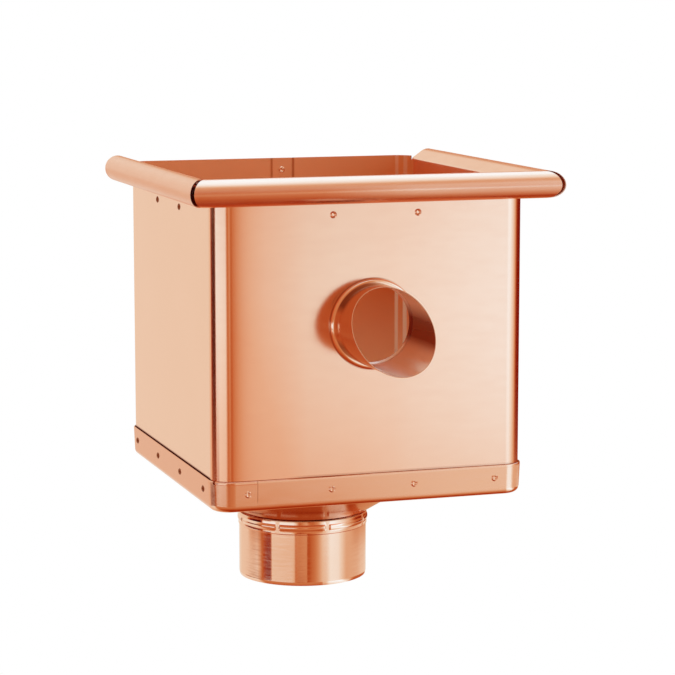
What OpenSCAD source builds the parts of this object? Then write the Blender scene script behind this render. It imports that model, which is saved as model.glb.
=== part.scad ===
// Copper hopper head for a downpipe: an open box of folded sheet with a riveted base tray,
// a rolled bead along three sides of its rim, an overflow spout and an outlet spigot.
// Millimetres, +Z up. The origin is on the outlet's axis, at the spigot's lower end.
// The front, with the spout, faces -Y, and the building's wall is on the +Y side.

/* [Box] */
// Width of the box over its side walls
body_w = 240; // [180:1:320]
// Depth of the box from the front wall to the back wall
body_d = 254; // [200:1:320]
// Height of the back wall's top edge above the underside of the tray
rim_h = 237.5; // [180:0.5:320]
// How much lower the front and side walls stop, under the fold of the bead
rim_step = 3; // [0:0.5:8]
// Outside radius of the upright bends at the corners
corner_r = 15; // [8:0.5:20]
// Thickness of the copper sheet
sheet_t = 0.8; // [0.5:0.1:1]
// Clearance between sheets that lie on each other
seat_gap = 0.1; // [0.05:0.05:0.2]

/* [Back seam] */
// Width of the lap where the two ends of the wall sheet meet
seam_w = 16.5; // [12:0.5:24]
// Place of the lap's free inner edge, right of the middle
seam_x = 0; // [-20:1:8]
// Length of the step that sets the inner end back by one sheet
seam_step = 3; // [2:0.5:6]

/* [Base tray] */
// Height of the tray's upstand
tray_h = 23; // [18:0.5:40]
// Outside radius of the bend along the tray's lower edge
tray_bend_r = 4; // [2:0.5:6]
// Reach of the folded tab along the front, past the rivet that holds it
tab_past = 7; // [5:0.5:14]
// How far the tab's top edge lies below the upstand's
tab_drop = 2.2; // [0.5:0.1:4]
// Width of the small notch in the upstand's edge at each front corner
notch_w = 2; // [1:0.5:4]
// Angle from the front round to this notch
notch_turn = 60; // [30:5:80]

/* [Rim bead] */
// Outside diameter of the rolled bead
bead_d = 20; // [16:1:22]
// Length of the flat neck between the wall and the roll
bead_neck = 9; // [8:0.5:16]
// Slope of the neck, rising outwards
bead_slope = 35; // [25:1:45]
// Angle through which the bead is rolled
bead_roll = 310; // [270:5:320]
// Inside radius of the fold over the wall's top edge
bead_fold_r = 1.2; // [1.2:0.1:2]
// Height of the leg that lies inside the wall
bead_leg = 29; // [27:1:45]
// Width of the open mitre at the front corners
mitre_gap = 3.2; // [0.5:0.1:5]
// Distance from the back wall's outer face to the side beads' ends
bead_back = 12; // [10:0.5:30]

/* [Overflow spout] */
// Outside diameter of the spout
spout_d = 60; // [40:1:80]
// Height of the spout's axis above the underside of the tray
spout_h = 134; // [100:1:170]
// Reach of the mouth's upper lip from the front wall
spout_top = 29; // [15:1:40]
// Reach of the mouth's lower lip from the front wall
spout_lip = 66; // [45:1:90]
// How far the stop bead stands out from the spout
spout_bead = 3.4; // [2:0.1:5]
// Radius of the stop bead's round section
spout_bead_r = 2.8; // [2.4:0.1:4]
// Width of the flange turned over inside the wall
spout_flange = 3.5; // [2:0.5:8]

/* [Outlet] */
// Outside diameter of the spigot
outlet_d = 102; // [70:1:125]
// Distance from the back wall's outer face to the outlet's axis
outlet_back = 82; // [75:1:110]
// Height of the funnel, from the spigot's upper edge to the underside of the tray
funnel_h = 39; // [15:0.5:60]
// Flat floor left between the funnel's mouth and the side walls
funnel_margin = 24; // [20:1:40]
// Distance from the back wall's outer face to the funnel's mouth
funnel_back = 16; // [14:1:30]
// Width of the funnel's flange on the tray's floor
funnel_flange = 6; // [4:0.5:8]
// Length of the spigot
spigot_h = 51.5; // [35:0.5:90]
// Length of the spigot's upper band, which takes the neck
neck_lap = 10; // [9:0.5:25]
// How far this band is stretched past the spigot's own radius
band_swell = 0.6; // [0.6:0.1:0.8]
// Room left between the band's shoulder and the neck's lower edge
neck_stop = 1.5; // [1.2:0.1:2]
// Distance from the spigot's upper edge to the middle of the locking bead
lock_inset = 5; // [4:0.5:8]
// Height of the locking bead
lock_h = 5; // [3:0.5:6]
// How far the locking bead stands out
lock_proud = 0.7; // [0.5:0.1:1.4]
// Number of segments that the locking bead is pressed in
lock_count = 8; // [4:1:12]
// Angle left plain between two segments
lock_land = 4; // [2:0.5:8]
// Angle from the front to the nearest of these plain lands
lock_turn = 5; // [0:1:45]

/* [Rivets] */
// Diameter of a rivet's head
rivet_head_d = 5.2; // [4.5:0.1:7]
// Height of a rivet's head
rivet_head_h = 1.1; // [0.8:0.1:1.6]
// Diameter of a rivet's shank
rivet_d = 3; // [2.4:0.1:3.4]
// Diameter of a rivet's spread tail
rivet_tail_d = 4.4; // [4:0.1:5.5]
// Height of a rivet's spread tail
rivet_tail_h = 0.8; // [0.5:0.1:1.2]
// Diameter of the pull-stem hole in a rivet's head
rivet_stem_d = 1.6; // [1:0.1:1.8]
// Height of the tray's rivets above its underside
tray_rivet_h = 13.5; // [11:0.5:18]
// Distance from the box's corners to the tray's end rivets
tray_rivet_inset = 24; // [20:1:40]
// Extra distance at the front ends of the sides, past the folded tab
tray_rivet_lead = 6; // [0:1:12]
// Number of rivets on each side of the tray
tray_rivets = 4; // [2:1:6]
// Distance from the back wall's top edge down to the level of the bead's rivets
bead_rivet_drop = 23; // [18:0.5:26]
// Distance between the two rivets of a bead
bead_rivet_pitch = 65; // [40:1:100]
// How far a bead's pair of rivets sits off the middle of its side
bead_rivet_shift = 2; // [-10:0.5:10]
// Distance from the back wall's top edge down to the seam's first rivet
seam_rivet_drop = 9.5; // [7:0.5:20]
// Distance from the walls' lower edge up to the seam's last rivet
seam_rivet_foot = 34; // [30:1:50]
// Number of rivets along the seam
seam_rivets = 4; // [3:1:6]

/* [Hidden] */
$fn = 96;
cut = 1;  // how far a cutting body runs past what it cuts
copper = "#dc9a72";
copper_light = "#e8b391";
copper_dark = "#c47a50";

// Heights
tray_z = funnel_h + spigot_h;
wall_z = tray_z + tray_bend_r;
rim_z = tray_z + rim_h;
side_rim_z = rim_z - rim_step;
wall_h = side_rim_z - wall_z;
back_h = rim_z - wall_z;
spout_z = tray_z + spout_h;

// Plan: outer faces of the walls, and the straight stretches between the corner bends
side_x = body_w / 2;
back_y = outlet_back;
front_y = outlet_back - body_d;
mid_y = (front_y + back_y) / 2;
straight_x = side_x - corner_r;
straight_front_y = front_y + corner_r;
straight_back_y = back_y - corner_r;
seam_end_x = seam_x + seam_w;
seam_inner_y = back_y - 2 * sheet_t - seat_gap;

// Tray section: the upstand stands one clearance outside the wall
tray_out = seat_gap + sheet_t;
tray_corner_r = corner_r + tray_out;
tab_end_x = tray_rivet_inset + tab_past - side_x;
tab_step = sheet_t - seat_gap;

// Bead section, about the roll's centre: X runs out from the box and Y up
arc_step = 5;
bead_r = bead_d / 2;
bead_in_r = bead_r - sheet_t;
bead_top = 90 + bead_slope;
bead_end = bead_top - bead_roll;
fold_drop = bead_in_r - bead_fold_r;
fold_x = -bead_neck * cos(bead_slope) - fold_drop * sin(bead_slope);
fold_y = -bead_neck * sin(bead_slope) + fold_drop * cos(bead_slope);
leg_x = fold_x - bead_fold_r;
leg_top_y = fold_y - seat_gap;
leg_end_y = leg_top_y - bead_leg;
bead_out = bead_fold_r - sheet_t - seat_gap - fold_x;
bead_z = side_rim_z + seat_gap - leg_top_y;
front_bead_y = front_y - bead_out;
side_bead_x = side_x + bead_out;

// Outlet radii and heights
spigot_r = outlet_d / 2;
band_r = spigot_r + band_swell;
band_z = spigot_h - neck_lap;
neck_r = band_r - sheet_t - seat_gap;
neck_bottom_z = band_z + neck_stop;
neck_top_z = spigot_h - seat_gap;
floor_z = tray_z + sheet_t;
funnel_r = min(side_x, body_d / 2) - funnel_margin;
funnel_low_r = neck_r - sheet_t - seat_gap;
funnel_low_z = spigot_h;
funnel_top_z = floor_z + seat_gap;
funnel_y = back_y - funnel_back - funnel_r;
funnel_lean = funnel_y / (funnel_top_z - funnel_low_z);
lock_z = spigot_h - lock_inset;
lock_r = (pow(lock_h / 2, 2) + pow(lock_proud, 2)) / (2 * lock_proud);
lock_angle = 360 / lock_count - lock_land;

// Spout radii
spout_r = spout_d / 2;
spout_bead_mid_r = spout_r + spout_bead - spout_bead_r;
spout_tilt = atan((spout_lip - spout_top) / spout_d);

// Rivet places
tray_rivet_z = tray_z + tray_rivet_h;
bead_rivet_z = rim_z - bead_rivet_drop;
tray_rivet_x = spread(-side_x + tray_rivet_inset, side_x - tray_rivet_inset, tray_rivets);
tray_rivet_y = spread(front_y + tray_rivet_inset + tray_rivet_lead, back_y - tray_rivet_inset, tray_rivets);
bead_rivet_x = [for (s = [-1, 1]) bead_rivet_shift + s * bead_rivet_pitch / 2];
bead_rivet_y = [for (s = [-1, 1]) mid_y + bead_rivet_shift + s * bead_rivet_pitch / 2];
seam_rivet_x = seam_x + seam_w / 2;
seam_rivet_z = spread(wall_z + seam_rivet_foot, rim_z - seam_rivet_drop, seam_rivets);
lap_grip = 2 * sheet_t + seat_gap;

// Outer face of the front upstand, which is one step further out where the tab lies on it
function front_tray_out(x) = x < tab_end_x ? tray_out + tab_step : tray_out;

// Evenly spaced places from low to high
function spread(low, high, count) = [for (i = [0 : count - 1]) low + i * (high - low) / (count - 1)];

// Upright corner bend of a sheet, about its own axis, from -X to -Y
module corner_bend(r, height) {
    rotate_extrude(angle = 90, start = 180)
        translate([r - sheet_t, 0])
            square([sheet_t, height]);
}

// Rivet along +Z: its head above the sheets at z = 0, its tail under them at z = -grip
module rivet(grip) {
    dome_r = (pow(rivet_head_d / 2, 2) + pow(rivet_head_h, 2)) / (2 * rivet_head_h);
    difference() {
        union() {
            intersection() {
                translate([0, 0, rivet_head_h - dome_r])
                    sphere(dome_r);
                cylinder(d = rivet_head_d + cut, h = rivet_head_h + cut);
            }
            translate([0, 0, -grip])
                cylinder(d = rivet_d, h = grip);
            translate([0, 0, -grip - rivet_tail_h])
                cylinder(d = rivet_tail_d, h = rivet_tail_h);
        }
        cylinder(d = rivet_stem_d, h = rivet_head_h + cut);
    }
}

// Hole for a rivet's shank, along Z
module rivet_hole(reach) {
    cylinder(d = rivet_d + 2 * seat_gap, h = reach, center = true);
}

// Frames with +Z outwards, on each face of the box
module on_front(x, out, z) {
    translate([x, front_y - out, z])
        rotate([90, 0, 0])
            children();
}

module on_back(x, out, z) {
    translate([x, back_y + out, z])
        rotate([-90, 0, 0])
            children();
}

module on_left(y, out, z) {
    translate([-side_x - out, y, z])
        rotate([0, -90, 0])
            children();
}

module on_right(y, out, z) {
    translate([side_x + out, y, z])
        rotate([0, 90, 0])
            children();
}

// The child at every rivet of the tray, of the bead or of the seam
module at_front_tray() {
    for (x = tray_rivet_x)
        on_front(x, front_tray_out(x), tray_rivet_z)
            children();
}

module at_rear_tray() {
    for (x = tray_rivet_x)
        on_back(x, tray_out, tray_rivet_z)
            children();
}

module at_left_tray() {
    for (y = tray_rivet_y)
        on_left(y, tray_out, tray_rivet_z)
            children();
}

module at_right_tray() {
    for (y = tray_rivet_y)
        on_right(y, tray_out, tray_rivet_z)
            children();
}

module at_front_bead() {
    for (x = bead_rivet_x)
        on_front(x, 0, bead_rivet_z)
            children();
}

module at_left_bead() {
    for (y = bead_rivet_y)
        on_left(y, 0, bead_rivet_z)
            children();
}

module at_right_bead() {
    for (y = bead_rivet_y)
        on_right(y, 0, bead_rivet_z)
            children();
}

// Seam rivets are set from inside the box, so the child's +Z points inwards
module at_seam() {
    for (z = seam_rivet_z)
        translate([seam_rivet_x, seam_inner_y, z])
            rotate([90, 0, 0])
                children();
}

// The child at the front or back corners' bend axes, turned so that its -X and -Y quarter faces out
module at_front_corners() {
    for (side = [0, 1])
        translate([(2 * side - 1) * straight_x, straight_front_y, 0])
            rotate([0, 0, 90 * side])
                children();
}

module at_back_corners() {
    for (side = [0, 1])
        translate([(1 - 2 * side) * straight_x, straight_back_y, 0])
            rotate([0, 0, 180 + 90 * side])
                children();
}

// One folded sheet: front, sides and two back halves, lapped at the back
module wall_wrap() {
    color(copper)
    difference() {
        translate([0, 0, wall_z])
            union() {
                at_front_corners()
                    corner_bend(corner_r, wall_h);
                at_back_corners()
                    corner_bend(corner_r, wall_h);
                translate([-straight_x, front_y, 0])
                    cube([2 * straight_x, sheet_t, wall_h]);
                for (x = [-side_x, side_x - sheet_t])
                    translate([x, straight_front_y, 0])
                        cube([sheet_t, straight_back_y - straight_front_y, wall_h]);
                translate([-straight_x, back_y - sheet_t, 0])
                    cube([seam_end_x + straight_x, sheet_t, back_h]);
                linear_extrude(back_h)
                    seam_inner_end();
            }
        on_front(0, 0, spout_z)
            cylinder(r = spout_r + seat_gap, h = 4 * sheet_t, center = true);
        at_front_tray() rivet_hole(8 * sheet_t);
        at_rear_tray() rivet_hole(8 * sheet_t);
        at_left_tray() rivet_hole(8 * sheet_t);
        at_right_tray() rivet_hole(8 * sheet_t);
        at_front_bead() rivet_hole(4 * sheet_t);
        at_left_bead() rivet_hole(4 * sheet_t);
        at_right_bead() rivet_hole(4 * sheet_t);
        at_seam() rivet_hole(8 * sheet_t);
    }
}

// Plan of the right-hand back half, with its end stepped in behind the left-hand one
module seam_inner_end() {
    step_x = seam_end_x + seam_step;
    polygon([
        [straight_x, back_y],
        [step_x, back_y],
        [seam_end_x, seam_inner_y + sheet_t],
        [seam_x, seam_inner_y + sheet_t],
        [seam_x, seam_inner_y],
        [seam_end_x, seam_inner_y],
        [step_x, back_y - sheet_t],
        [straight_x, back_y - sheet_t]
    ]);
}

// Section of the tray's edge: floor, bend and upstand, measured out from the corner bends' axes
module tray_section() {
    bend_x = tray_corner_r - tray_bend_r;
    square([bend_x, sheet_t]);
    translate([bend_x, tray_bend_r])
        intersection() {
            difference() {
                circle(tray_bend_r);
                circle(tray_bend_r - sheet_t);
            }
            translate([0, -tray_bend_r - cut])
                square(tray_bend_r + cut);
        }
    translate([tray_corner_r - sheet_t, tray_bend_r])
        square([sheet_t, tray_h - tray_bend_r]);
}

// Corner of the tray, about the corner bend's axis, from -X to -Y
module tray_corner() {
    rotate_extrude(angle = 90, start = 180)
        tray_section();
}

// Straight edge of the tray, along Y from 0, with the upstand towards +X
module tray_edge(length) {
    translate([0, length, 0])
        rotate([90, 0, 0])
            linear_extrude(length)
                tray_section();
}

// The left upstand's tab, wrapped round the corner on to the front upstand
module corner_tab() {
    tab_h = tray_h - tab_drop - tray_bend_r;
    translate([0, -tab_step, tray_bend_r]) {
        translate([-straight_x, straight_front_y, 0])
            corner_bend(tray_corner_r, tab_h);
        translate([-straight_x, front_y - tray_out, 0])
            cube([tab_end_x + straight_x, sheet_t, tab_h]);
    }
}

// Notch in the upstand's top edge, as deep as the tab's edge lies below it
module corner_notch(side) {
    translate([side * straight_x, straight_front_y, tray_z + tray_h - tab_drop])
        rotate([0, 0, side * notch_turn])
            translate([-notch_w / 2, -tray_corner_r - cut, 0])
                cube([notch_w, sheet_t + 2 * cut, tab_drop + cut]);
}

// Pan with a rounded lower edge, which takes the walls inside its upstand
module base_tray() {
    depth = straight_back_y - straight_front_y;
    color(copper_light)
    difference() {
        translate([0, 0, tray_z])
            union() {
                translate([-straight_x, straight_front_y, 0])
                    cube([2 * straight_x, depth, sheet_t]);
                at_front_corners()
                    tray_corner();
                at_back_corners()
                    tray_corner();
                translate([straight_x, straight_front_y, 0])
                    tray_edge(depth);
                translate([-straight_x, straight_back_y, 0])
                    rotate([0, 0, 180])
                        tray_edge(depth);
                translate([straight_x, straight_back_y, 0])
                    rotate([0, 0, 90])
                        tray_edge(2 * straight_x);
                translate([-straight_x, straight_front_y, 0])
                    rotate([0, 0, -90])
                        tray_edge(2 * straight_x);
                corner_tab();
            }
        translate([0, funnel_y, tray_z])
            cylinder(r = funnel_r + seat_gap, h = 4 * sheet_t, center = true);
        corner_notch(-1);
        corner_notch(1);
        at_front_tray() rivet_hole(4 * sheet_t);
        at_rear_tray() rivet_hole(4 * sheet_t);
        at_left_tray() rivet_hole(4 * sheet_t);
        at_right_tray() rivet_hole(4 * sheet_t);
    }
}

// Points of an arc, from one angle to another
function arc(x, y, r, from, to) = [
    for (i = [0 : ceil(abs(to - from) / arc_step)])
        let (a = from + (to - from) * i / ceil(abs(to - from) / arc_step))
            [x + r * cos(a), y + r * sin(a)]
];

// Section of the rolled strip: the leg inside the wall, the fold over its edge, the neck and the roll
module bead_section() {
    polygon(concat(
        [[leg_x - sheet_t, leg_end_y]],
        arc(fold_x, fold_y, bead_fold_r + sheet_t, 180, bead_top),
        arc(0, 0, bead_r, bead_top, bead_end),
        arc(0, 0, bead_in_r, bead_end, bead_top),
        arc(fold_x, fold_y, bead_fold_r, bead_top, 180),
        [[leg_x, leg_end_y]]
    ));
}

// Rolled strip along +Z, with its leg cut away before leg_from and past leg_to
module bead_strip(length, leg_from, leg_to) {
    difference() {
        linear_extrude(length)
            bead_section();
        leg_notch(-cut, leg_from);
        leg_notch(leg_to, length + cut);
    }
}

module leg_notch(from, to) {
    translate([leg_x - sheet_t - cut / 2, leg_end_y - cut, from])
        cube([sheet_t + cut, bead_leg + cut, to - from]);
}

// Half-space cut at a front corner: what lies past the mitre line of the bead's axis, less half its gap
module mitre(turn) {
    reach = 4 * bead_d;
    rotate([0, 0, turn])
        translate([-reach, -mitre_gap / 2, -reach])
            cube([2 * reach, 2 * reach, 2 * reach]);
}

module front_bead() {
    reach = side_bead_x + bead_r;
    color(copper)
    difference() {
        translate([-reach, front_bead_y, bead_z])
            rotate([90, 0, 90])
                mirror([1, 0, 0])
                    bead_strip(2 * reach, reach - straight_x, reach + straight_x);
        translate([-side_bead_x, front_bead_y, bead_z])
            mitre(45);
        translate([side_bead_x, front_bead_y, bead_z])
            mitre(-45);
        at_front_bead() rivet_hole(8 * sheet_t);
    }
}

// Side bead on the left, from the front mitre to the back corner, with its leg on the straight wall only
module side_bead_strip() {
    from_y = front_bead_y - bead_r;
    to_y = back_y - bead_back;
    leg_from = max(0, to_y - straight_back_y + seat_gap);
    difference() {
        translate([-side_bead_x, to_y, bead_z])
            rotate([90, 0, 0])
                mirror([1, 0, 0])
                    bead_strip(to_y - from_y, leg_from, to_y - straight_front_y);
        translate([-side_bead_x, front_bead_y, bead_z])
            mitre(225);
    }
}

module left_bead() {
    color(copper_light)
    difference() {
        side_bead_strip();
        at_left_bead() rivet_hole(8 * sheet_t);
    }
}

module right_bead() {
    color(copper_light)
    difference() {
        mirror([1, 0, 0])
            side_bead_strip();
        at_right_bead() rivet_hole(8 * sheet_t);
    }
}

// Section of the spout: flange inside the wall, tube, and stop bead against the wall's outer face.
// X is the radius and Y runs out from the wall's outer face.
module spout_section() {
    bore_r = spout_r - sheet_t;
    inner_y = -sheet_t - seat_gap;
    translate([bore_r, inner_y - sheet_t])
        square([sheet_t + spout_flange, sheet_t]);
    difference() {
        union() {
            translate([bore_r, inner_y])
                square([sheet_t, spout_lip + cut - inner_y]);
            translate([spout_bead_mid_r, spout_bead_r + seat_gap])
                circle(spout_bead_r);
        }
        translate([spout_bead_mid_r, spout_bead_r + seat_gap])
            circle(spout_bead_r - sheet_t);
        square([bore_r, spout_lip]);
    }
}

// Overflow tube, flanged in the front wall and cut off at a slant with the longer lip below
module overflow_spout() {
    color(copper_dark)
    on_front(0, 0, spout_z)
        difference() {
            rotate_extrude()
                spout_section();
            translate([0, 0, (spout_top + spout_lip) / 2])
                rotate([-spout_tilt, 0, 0])
                    translate([-spout_d, -2 * spout_d, 0])
                        cube([2 * spout_d, 4 * spout_d, spout_d]);
        }
}

// Ring of pressed segments that stands out from a tube of radius r
module lock_segments(r) {
    for (i = [0 : lock_count - 1])
        translate([0, 0, lock_z])
            rotate([0, 0, i * 360 / lock_count])
                rotate_extrude(angle = lock_angle, start = 270 + lock_turn + lock_land / 2)
                    intersection() {
                        translate([r + lock_proud - lock_r, 0])
                            circle(lock_r);
                        translate([r - sheet_t, -0.6 * lock_h])
                            square([sheet_t + 2 * lock_proud, 1.2 * lock_h]);
                    }
}

// Section of the funnel before it leans: the cut lower edge, the slope and the flange on the tray's floor
module funnel_section() {
    slope_t = 0.75 * sheet_t;
    polygon([
        [funnel_low_r, 0],
        [funnel_r, funnel_top_z - funnel_low_z],
        [funnel_r + funnel_flange, funnel_top_z - funnel_low_z],
        [funnel_r + funnel_flange, funnel_top_z - funnel_low_z + sheet_t],
        [funnel_r - sheet_t / 2, funnel_top_z - funnel_low_z + sheet_t],
        [funnel_low_r - slope_t, slope_t]
    ]);
}

// Slides each height of the funnel forward in proportion, so a turned cone becomes a leaning one
module lean_forward() {
    multmatrix([
        [1, 0, 0, 0],
        [0, 1, funnel_lean, 0],
        [0, 0, 1, 0],
        [0, 0, 0, 1]
    ])
        children();
}

// Funnel hung in the tray's floor: its wide mouth lies further forward than the outlet below it.
// It is drawn in quarters, since a whole leaning turn loses accuracy in the exact model.
module outlet_funnel() {
    color(copper_dark)
    translate([0, 0, funnel_low_z])
        for (turn = [0 : 90 : 270])
            lean_forward()
                rotate(turn)
                    rotate_extrude(angle = 90)
                        funnel_section();
}

// Short tube under the funnel, pressed into the spigot's locking bead
module outlet_neck() {
    color(copper_dark)
    difference() {
        union() {
            translate([0, 0, neck_bottom_z])
                rotate_extrude()
                    translate([neck_r - sheet_t, 0])
                        square([sheet_t, neck_top_z - neck_bottom_z]);
            lock_segments(neck_r);
        }
        lock_segments(neck_r - sheet_t);
    }
}

// Section of the spigot: plain tube, shoulder and stretched band
module spigot_section() {
    shoulder_z = band_z - band_swell;
    polygon([
        [spigot_r, 0],
        [spigot_r, shoulder_z],
        [band_r, band_z],
        [band_r, spigot_h],
        [band_r - sheet_t, spigot_h],
        [band_r - sheet_t, band_z],
        [spigot_r - sheet_t, shoulder_z],
        [spigot_r - sheet_t, 0]
    ]);
}

// Tube that takes the neck in its upper band, and the downpipe over its plain lower stretch
module outlet_spigot() {
    color(copper)
    difference() {
        union() {
            rotate_extrude()
                spigot_section();
            lock_segments(band_r);
        }
        lock_segments(band_r - sheet_t);
    }
}

module front_tray_rivets() {
    color(copper_dark)
    for (x = tray_rivet_x)
        on_front(x, front_tray_out(x), tray_rivet_z)
            rivet(lap_grip + front_tray_out(x) - tray_out);
}

module rear_tray_rivets() { color(copper_dark) at_rear_tray() rivet(lap_grip); }
module left_tray_rivets() { color(copper_dark) at_left_tray() rivet(lap_grip); }
module right_tray_rivets() { color(copper_dark) at_right_tray() rivet(lap_grip); }
module front_bead_rivets() { color(copper_dark) at_front_bead() rivet(lap_grip); }
module left_bead_rivets() { color(copper_dark) at_left_bead() rivet(lap_grip); }
module right_bead_rivets() { color(copper_dark) at_right_bead() rivet(lap_grip); }
module seam_rivet_row() { color(copper_dark) at_seam() rivet(lap_grip); }

wall_wrap();
base_tray();
front_bead();
left_bead();
right_bead();
overflow_spout();
outlet_funnel();
outlet_neck();
outlet_spigot();
front_tray_rivets();
rear_tray_rivets();
left_tray_rivets();
right_tray_rivets();
front_bead_rivets();
left_bead_rivets();
right_bead_rivets();
seam_rivet_row();
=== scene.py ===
# %% [markdown]
# This lesson dresses a copper hopper head, the box that collects rainwater at the top of a downpipe. The
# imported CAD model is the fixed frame: it gives the outer sizes, and it is never moved. Each sheet of the
# real box gets a finer mesh here, with a polished copper finish of its own.

# %% Load the frame
import math

import bmesh
import bpy
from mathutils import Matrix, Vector


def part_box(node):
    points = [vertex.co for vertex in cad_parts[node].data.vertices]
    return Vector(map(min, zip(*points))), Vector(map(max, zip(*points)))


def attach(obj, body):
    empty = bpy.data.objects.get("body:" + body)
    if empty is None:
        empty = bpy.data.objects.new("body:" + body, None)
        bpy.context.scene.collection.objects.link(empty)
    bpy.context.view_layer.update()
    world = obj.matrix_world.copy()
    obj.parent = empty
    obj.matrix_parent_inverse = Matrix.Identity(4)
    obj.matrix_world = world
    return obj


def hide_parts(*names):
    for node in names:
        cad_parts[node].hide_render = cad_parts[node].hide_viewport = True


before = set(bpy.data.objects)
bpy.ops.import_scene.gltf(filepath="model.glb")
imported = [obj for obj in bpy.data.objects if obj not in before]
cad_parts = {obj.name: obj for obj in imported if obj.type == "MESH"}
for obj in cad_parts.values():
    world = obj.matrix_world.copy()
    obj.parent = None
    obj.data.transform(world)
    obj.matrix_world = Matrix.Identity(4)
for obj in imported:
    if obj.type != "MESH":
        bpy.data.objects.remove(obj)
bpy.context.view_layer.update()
scene = bpy.context.scene
mm = 0.001

# %% [markdown]
# The camera stands a little left of the box and a little above it, with a long lens, as for a catalogue.
# It could be set by eye. Instead its place and lens were fitted to the box's corners, so no shift is
# needed. Depth of field stays off, because the whole box is sharp.

# %% Camera
eye = Vector((-583.06, -1844.47, 472.28)) * mm
yaw, pitch = 0.32077, -0.14466
gaze = Vector((math.sin(yaw) * math.cos(pitch), math.cos(yaw) * math.cos(pitch), math.sin(pitch)))
camera = bpy.data.objects.new("photo_camera", bpy.data.cameras.new("photo_camera"))
camera.location = eye
camera.rotation_euler = gaze.to_track_quat("-Z", "Y").to_euler()
camera.data.lens = 130.81
camera.data.sensor_width = 36
scene.collection.objects.link(camera)
scene.camera = camera
print("camera, m:", [round(v, 3) for v in eye])

# %% [markdown]
# Polished copper shows almost nothing but what stands around it, so the studio is the most important
# light. It could be many lamps and cards; a painted sky is simpler, and every band in it lands on the
# metal. The sky is one brightness by compass direction and height. The compass counts from the front, -Y,
# towards the right, +X. Brightness is written from 0 to 255, as a screen shows it, and turned into an
# amount of light.

# %% Amount of light
def light_level(level):
    """A brightness from 0 to 255 as an amount of light from 0 to 1"""
    share = level / 255
    return ((share + 0.055) / 1.055) ** 2.4


print("a brightness of 128 is", round(light_level(128), 3), "of full light")

# %% [markdown]
# A flat sheet mirrors only a thin slice of the room. The walls mirror what lies just below eye level, the
# spigot what lies a little lower, and the tray, which leans out, the lowest slice. Each slice has a list
# of stops, a direction and a brightness, for white cards, the dark gaps between them and soft shades. The
# stops were moved from render to render, until each reflection lay where the real metal shows it.

# %% Slices that the walls, the spigot and the tray mirror
wall_band = [
    (-180, 236), (-135, 233), (-130, 190), (-123, 120), (-115, 64), (-99, 60), (-96, 110), (-93, 244),
    (-88, 249), (-33, 246), (-28, 232), (-23, 187), (-16, 208), (-10, 219), (-5, 196), (0, 191), (8.5, 206),
    (12.3, 216), (14.8, 230), (16, 236), (17.5, 240), (21, 247), (22.5, 252), (40, 251), (62, 238),
    (74, 225), (82, 205), (92, 150), (104, 120), (140, 130), (160, 200), (172, 236),
]
low_right_stops = [
    (12.5, 218), (19, 230), (26, 233), (34, 244), (51, 243), (60, 234), (69, 223), (100, 228), (116, 234),
    (180, 236),
]
spigot_band = [
    (-180, 236), (-161, 234), (-142, 234), (-117, 233), (-108, 236), (-100, 221), (-91, 160), (-84, 124),
    (-76.6, 124), (-75.6, 230), (-60, 228), (-40, 226), (-31.5, 226), (-30.5, 188), (-27, 206), (-22, 211),
    (-9.5, 211), (-8.5, 172), (-6, 174), (-1, 192), (5, 202),
] + low_right_stops
tray_band = [
    (-180, 236), (-147, 232), (-139, 170), (-131, 70), (-104, 70), (-97, 130), (-92, 236), (-86, 246),
    (-38, 246), (-33, 226), (-29, 196), (-24, 150), (-18, 160), (-12, 188), (-5, 198), (0, 203), (5, 206),
] + low_right_stops
print("slices:", len(wall_band), len(spigot_band), len(tray_band), "stops")

# %% [markdown]
# Rounded pieces mirror the rest of the room too. It grows paler with height, and the sides change that:
# behind the box by the compass, and in front of it by how far to the right a ray goes, from 0 to 1.

# %% The rest of the room
plain_level = 203
rise_band = [
    (-90, 150), (-72, 162), (-60, 177), (-42, 196), (-24, plain_level), (20, plain_level), (33, 206),
    (45, 215), (52, 224), (60, 238), (68, 247), (74, 252), (90, 252),
]
back_band = [
    (-180, 238), (-110, 238), (-95, 200), (95, 190), (140, 190), (150, 204), (166, 211), (171, 234),
    (180, 238),
]
front_band = [
    (0.0, plain_level), (0.28, plain_level), (0.311, 212), (0.342, 234), (0.366, 229), (0.39, 228),
    (0.43, 236), (0.5, 250), (0.8, 254), (1.0, 200),
]
print("the rest:", len(rise_band), len(back_band), len(front_band), "stops")

# %% [markdown]
# A sky, and a finish too, is a tree of nodes. The same few steps come up again and again, so each is a
# function: add a node, do a sum, carry a value from one range to another, and mix two values. A ramp node
# would do for a soft edge; a product of several such ranges does for a patch that has an edge on each
# side.

# %% Helpers for nodes
def add_node(tree, kind, **settings):
    node = tree.nodes.new(kind)
    for name, value in settings.items():
        setattr(node, name, value)
    return node


def feed(tree, socket, source):
    """Links a source to a socket, or sets the socket to a plain number"""
    if isinstance(source, bpy.types.NodeSocket):
        tree.links.new(source, socket)
    else:
        socket.default_value = source


def calculate(tree, operation, first, second=0.0):
    node = add_node(tree, "ShaderNodeMath", operation=operation)
    feed(tree, node.inputs[0], first)
    feed(tree, node.inputs[1], second)
    return node.outputs[0]


def spread(tree, value, low, high, to_low=0.0, to_high=1.0):
    """Carries a value from the range low to high over to another range, and stops at its ends"""
    node = add_node(tree, "ShaderNodeMapRange")
    for socket, source in zip(node.inputs, (value, low, high, to_low, to_high)):
        feed(tree, socket, source)
    return node.outputs[0]


def fade(tree, *ramps):
    """The product of ramps, each a value with its start and end, and two shares where they aren't 0 and 1"""
    share = spread(tree, *ramps[0])
    for ramp in ramps[1:]:
        share = calculate(tree, "MULTIPLY", share, spread(tree, *ramp))
    return share


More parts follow.
